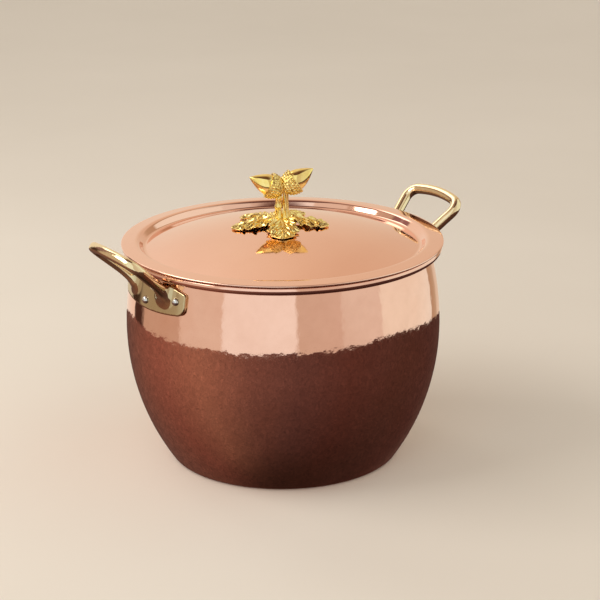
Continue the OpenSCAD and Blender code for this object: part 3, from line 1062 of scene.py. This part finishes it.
def make_cup(word, side):
    """A scaled bowl with a rounded lip, hollow where the nut sits in it."""
    rim_z = CUP_DEPTH - RIM_BELOW_LIP
    rim_a = math.degrees(math.asin((rim_z - BOWL_Z) / BOWL_R))
    bowl = on_arc((0, BOWL_Z), BOWL_R, -90, rim_a, BOWL_STEPS)
    # The base is drawn out a little, so that the two cups grow together over the stems
    bowl[:, 1] -= (BASE_STRETCH - 1) * np.maximum(BOWL_Z - bowl[:, 1], 0)
    bowl[0, 0] = 0
    lip = on_arc((BOWL_R - LIP_IN, CUP_DEPTH - LIP_R), LIP_R, -20, 160, 12)
    back = np.linspace((rim_z - NUT_SEAT) / NUT_LEN, 0.02, 20)
    inner = np.stack([nut_radius(back) + CLEARANCE, NUT_SEAT + NUT_LEN * back - CLEARANCE], 1)
    outline = chain(bowl, lip, inner, np.array([inner[-1], (0, NUT_SEAT - 2 * CLEARANCE)]))
    obj = lathe(word + "_acorn_cup_scaled", outline, CUP_SIDES, cup_scales)
    dress(place(obj, acorn_frame(side)), M_CUP, "lid", "gilt_brass", word + "_acorn_cup")


def make_stem(word, side):
    """A fluted, slightly twisted stem that flares into the leaves and into the cups."""
    top = ACORN_Z + side * ACORN_RISE - STEM_BELOW
    foot = BOSS_TOP[2] - CLEARANCE
    t = np.linspace(0, 1, STEM_ROWS)
    z = foot + (top - foot) * t
    girth = STEM_R + STEM_FOOT_FLARE * np.exp(-t * 9) + STEM_TOP_FLARE * np.exp(-(1 - t) * 8)
    if side < 0:
        for height, knot_at, knot_width in STEM_KNOTS:
            girth = girth + height * swell(t, knot_at, knot_width)
    middle = side * (STEM_APART + STEM_BOW * np.sin(np.pi * t)) + STEM_LEAN * t**2
    theta = np.arange(STEM_SIDES) * 2 * np.pi / STEM_SIDES
    points = []
    for i in range(STEM_ROWS):
        flutes = FLUTE_DEPTH * np.cos(5 * (theta + FLUTE_TWIST * t[i] * side))
        fine_flutes = FINE_FLUTE_DEPTH * np.cos(11 * theta - 4 * t[i])
        r = girth[i] + flutes + fine_flutes
        x = middle[i] + r * np.cos(theta)
        y = r * np.sin(theta)
        # The stems lie against each other, so each stops short of the plane between them
        x = np.where(side * x < STEM_GAP, side * STEM_GAP + 0.02 * x, x)
        points.append(np.stack([x, y, np.full(STEM_SIDES, z[i])], 1))
    faces = ring_faces(STEM_ROWS, STEM_SIDES, False)
    faces.append(tuple(range(STEM_SIDES))[::-1])
    faces.append(tuple(range((STEM_ROWS - 1) * STEM_SIDES, STEM_ROWS * STEM_SIDES)))
    obj = add_mesh(word + "_stem_fluted", np.concatenate(points), faces)
    place(obj, Matrix.Rotation(math.radians(ACORN_TURN), 4, "Z"))
    dress(obj, M_STEM, "lid", "gilt_brass", word + "_stem")


SIDES = (("left", -1), ("right", 1))
for side_word, side_sign in SIDES:
    make_nut(side_word, side_sign)
    make_cup(side_word, side_sign)
for side_word, side_sign in SIDES:
    make_stem(side_word, side_sign)


# ---------------------------------------------------------------- CAD nodes that stay
# The hidden linings, the screw and the washer are the CAD's own solids with a material.
KEPT = {
    "pot_lining": M_LINING,
    "lid_lining": M_LINING,
    "knob_screw": M_STEEL,
    "knob_washer": M_STEEL,
}
for node_name, material in KEPT.items():
    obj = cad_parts[node_name]
    if not obj.material_slots:
        obj.data.materials.append(material)
    for held in obj.material_slots:
        held.material = material


# ---------------------------------------------------------------- floor, light and camera
# The floor's half width is in millimetres; the camera's and light's places are in metres.
FLOOR_HALF = 9000
CAMERA_AZ = -33.0
CAMERA_EL = 19.47
CAMERA_DISTANCE = 1.519
CAMERA_ROLL = 0.58
CAMERA_LENS = 108.0
CAMERA_SENSOR = 36.0
CAMERA_SHIFT = (0.0277, 0.0761)
CAMERA_AIM = (0, 0, 0.09)
LIGHT_AIM = (0, 0, 0.1)


def make_floor():
    """Pale paper that the camera sees and the polished metal does not."""
    h = FLOOR_HALF
    obj = add_mesh("floor", [(-h, -h, 0), (h, -h, 0), (h, h, 0), (-h, h, 0)], [(0, 1, 2, 3)])
    s = Shade("floor_paper")
    tone = s.cloud(2.0)
    colour = s.ramp(tone, [(0.3, (0.80, 0.735, 0.66)), (0.7, (0.83, 0.765, 0.69))])
    roughness = s.ramp(tone, [(0.3, 0.85), (0.7, 0.95)])
    obj.data.materials.append(s.finish(colour, roughness, metallic=0.0))
    s.surface.inputs["Specular IOR Level"].default_value = 0.1
    obj.visible_glossy = False


make_floor()

# What the polished metal reflects. Colours are linear and may be brighter than one. A bearing runs
# from 0 to 1, with 0.5 towards the camera, and grows to the camera's right. A height is a sine.
BLACK = (0.0, 0.0, 0.0)
WHITE = (1.0, 1.0, 1.0)
WALL_TONE = (0.84, 0.71, 0.55)
WALL_LEFT = (0.92, 0.82, 0.69)
WALL_RIGHT = (0.76, 0.61, 0.46)
CEILING = (0.17, 0.09, 0.08)
HAZE = (0.62, 0.54, 0.50)
# A dark gap between two panels, which is lighter higher up
GAP_TONE = (0.07, 0.035, 0.025)
GAP_HIGH_TONE = (0.30, 0.17, 0.17)
GAP_BEARING = [(0.119, BLACK), (0.122, WHITE), (0.158, WHITE), (0.164, BLACK)]
GAP_HEIGHT = [(0.15, BLACK), (0.3, WHITE)]
# A bright window, behind and to the left
WINDOW_TONE = (2.4, 2.3, 2.1)
WINDOW_BEARING = [(0.076, BLACK), (0.084, WHITE), (0.132, WHITE), (0.142, BLACK)]
WINDOW_HEIGHT = [(0.46, BLACK), (0.52, WHITE), (0.72, WHITE), (0.78, BLACK)]
# Where the panels end in the dark ceiling, towards the camera and away from it, and how quickly
# the one gives way to the other
AHEAD_SLOPE = 4.0
CEILING_AHEAD = [(0.912, WHITE), (0.926, CEILING)]
CEILING_BEHIND = [(0.80, WHITE), (0.90, HAZE), (0.985, CEILING)]
# How the table darkens towards the pot, by the sine below level
TABLE_DEPTH = [(0.4, WHITE), (0.75, 0.66), (0.93, 0.43), (1.0, 0.3)]
TABLE_GRAIN = [(0.3, 0.5), (0.5, 1.0), (0.7, (1.7, 1.6, 1.55))]
GRAIN_SCALE = 70.0
NADIR_SLOPE = 8.0
# How far below level the table ends, as a sine, by bearing
TABLE_EDGE = [
    (0.0, 0.32), (0.08, 0.281), (0.126, 0.260), (0.17, 0.253), (0.224, 0.244), (0.289, 0.232),
    (0.33, 0.22), (0.384, 0.215), (0.42, 0.219), (0.52, 0.200), (0.59, 0.206), (0.655, 0.201),
    (0.702, 0.196), (0.755, 0.214), (0.804, 0.241), (0.845, 0.261), (0.872, 0.271), (0.916, 0.291),
    (1.0, 0.32),
]
TABLE_TONE = (0.1, 0.0504, 0.0384)
TABLE = [
    (0.0, TABLE_TONE),
    (0.12, (0.2, 0.101, 0.0768)),
    (0.213, (0.275, 0.123, 0.0922)),
    (0.322, (0.335, 0.176, 0.125)),
    (0.432, (0.185, 0.0952, 0.0768)),
    (0.53, (0.122, 0.0627, 0.055)),
    (0.638, (0.1, 0.0448, 0.0358)),
    (0.77, (0.081, 0.0410, 0.0330)),
    (0.88, (0.078, 0.0375, 0.0300)),
    (1.0, TABLE_TONE),
]
PANEL_FRONT = (0.97, 1.03, 1.02)
PANELS = [
    (0.0, WALL_TONE),
    (0.05, WALL_LEFT),
    (0.118, WALL_LEFT),
    (0.122, GAP_TONE),
    (0.156, GAP_TONE),
    (0.168, (0.58, 0.45, 0.34)),
    (0.278, (0.62, 0.50, 0.40)),
    (0.282, (0.78, 0.71, 0.62)),
    (0.375, (0.80, 0.73, 0.64)),
    (0.380, PANEL_FRONT),
    (0.525, PANEL_FRONT),
    (0.530, (0.68, 0.60, 0.51)),
    (0.617, (0.72, 0.64, 0.56)),
    (0.622, (0.79, 0.76, 0.69)),
    (0.707, (0.82, 0.79, 0.72)),
    (0.712, (0.93, 0.98, 0.90)),
    (0.880, (0.93, 0.98, 0.89)),
    (0.886, (0.51, 0.37, 0.24)),
    (0.915, (0.55, 0.42, 0.28)),
    (0.93, WALL_RIGHT),
    (0.965, WALL_RIGHT),
    (1.0, WALL_TONE),
]


def make_world():
    """Upright panels, a bright window, a dark gap and a dark ceiling over a dark, grained table."""
    world = bpy.data.worlds.new("studio")
    bpy.context.scene.world = world
    world.use_nodes = True
    n = Nodes(world.node_tree)
    direction = n.add("ShaderNodeTexCoord").outputs["Generated"]
    parts = n.add("ShaderNodeSeparateXYZ")
    n.link(direction, parts.inputs[0])
    x, y, z = parts.outputs

    def turned(a, b):
        """The sum of x times a and y times b."""
        return n.maths("ADD", n.maths("MULTIPLY", x, a), n.maths("MULTIPLY", y, b))

    facing = math.radians(CAMERA_AZ)
    forward = turned(math.sin(facing), -math.cos(facing))
    right = turned(math.cos(facing), math.sin(facing))
    angle = n.maths("ARCTAN2", right, forward)
    bearing = n.maths("ADD", n.maths("DIVIDE", angle, 2 * math.pi), 0.5)
    sunk = n.maths("MULTIPLY", z, -1.0)

    ahead = n.maths("ADD", n.maths("MULTIPLY", forward, AHEAD_SLOPE), 0.5)
    ahead = n.maths("MINIMUM", n.maths("MAXIMUM", ahead, 0.0), 1.0)
    height = n.mix(ahead, n.ramp(z, CEILING_BEHIND), n.ramp(z, CEILING_AHEAD))
    window = n.times(n.ramp(bearing, WINDOW_BEARING), n.ramp(z, WINDOW_HEIGHT))
    gap = n.times(n.ramp(bearing, GAP_BEARING), n.ramp(z, GAP_HEIGHT))
    panels = n.mix(gap, n.times(n.ramp(bearing, PANELS), height), GAP_HIGH_TONE)
    upper = n.mix(window, panels, WINDOW_TONE)

    # Straight down the bearings run together, so there the table takes one tone
    nadir = n.maths("MINIMUM", 1.0, n.maths("MULTIPLY", n.maths("ADD", z, 1.0), NADIR_SLOPE))
    table = n.mix(nadir, TABLE_TONE, n.ramp(bearing, TABLE))
    speckle = n.ramp(n.noise(GRAIN_SCALE, 5.0, direction, 0.7), TABLE_GRAIN)
    lower = n.times(n.times(table, n.ramp(sunk, TABLE_DEPTH)), speckle)

    above = n.maths("LESS_THAN", sunk, n.ramp(bearing, TABLE_EDGE))
    background = n.add("ShaderNodeBackground")
    n.link(n.mix(above, lower, upper), background.inputs["Color"])
    out = n.add("ShaderNodeOutputWorld")
    n.link(background.outputs[0], out.inputs["Surface"])


make_world()


def towards(azimuth, elevation):
    """Unit vector from the pot towards a place round it, angles in degrees from square on and level."""
    a, e = math.radians(azimuth), math.radians(elevation)
    return Vector((math.sin(a) * math.cos(e), -math.cos(a) * math.cos(e), math.sin(e)))


def make_light(name, bearing, elevation, distance, size, watts, colour):
    """A soft oblong light aimed at the middle of the pot; bearing is measured from the camera's side."""
    data = bpy.data.lights.new(name, "AREA")
    data.shape = "RECTANGLE"
    data.size, data.size_y = size
    data.energy = watts
    data.color = colour
    obj = bpy.data.objects.new(name, data)
    back = towards(CAMERA_AZ + bearing, elevation)
    obj.location = Vector(LIGHT_AIM) + back * distance
    obj.rotation_mode = "QUATERNION"
    obj.rotation_quaternion = (-back).to_track_quat("-Z", "Y")
    obj.visible_camera = False
    bpy.context.scene.collection.objects.link(obj)


make_light("key_softbox", -80, 45, 1.6, (1.2, 0.6), 11.0, (1.0, 0.97, 0.92))


def make_camera():
    """A long lens from a little above, rolled and shifted slightly."""
    data = bpy.data.cameras.new("camera")
    data.sensor_width = CAMERA_SENSOR
    data.lens = CAMERA_LENS
    data.shift_x, data.shift_y = CAMERA_SHIFT
    data.clip_start = 0.05
    data.clip_end = 50
    obj = bpy.data.objects.new("camera", data)
    back = towards(CAMERA_AZ, CAMERA_EL)
    obj.location = Vector(CAMERA_AIM) + back * CAMERA_DISTANCE
    obj.rotation_mode = "QUATERNION"
    aim = (-back).to_track_quat("-Z", "Y").to_matrix()
    roll = Matrix.Rotation(math.radians(-CAMERA_ROLL), 3, "Z")
    obj.rotation_quaternion = (aim @ roll).to_quaternion()
    bpy.context.scene.collection.objects.link(obj)
    bpy.context.scene.camera = obj


make_camera()
bpy.context.scene.view_settings.view_transform = "Standard"
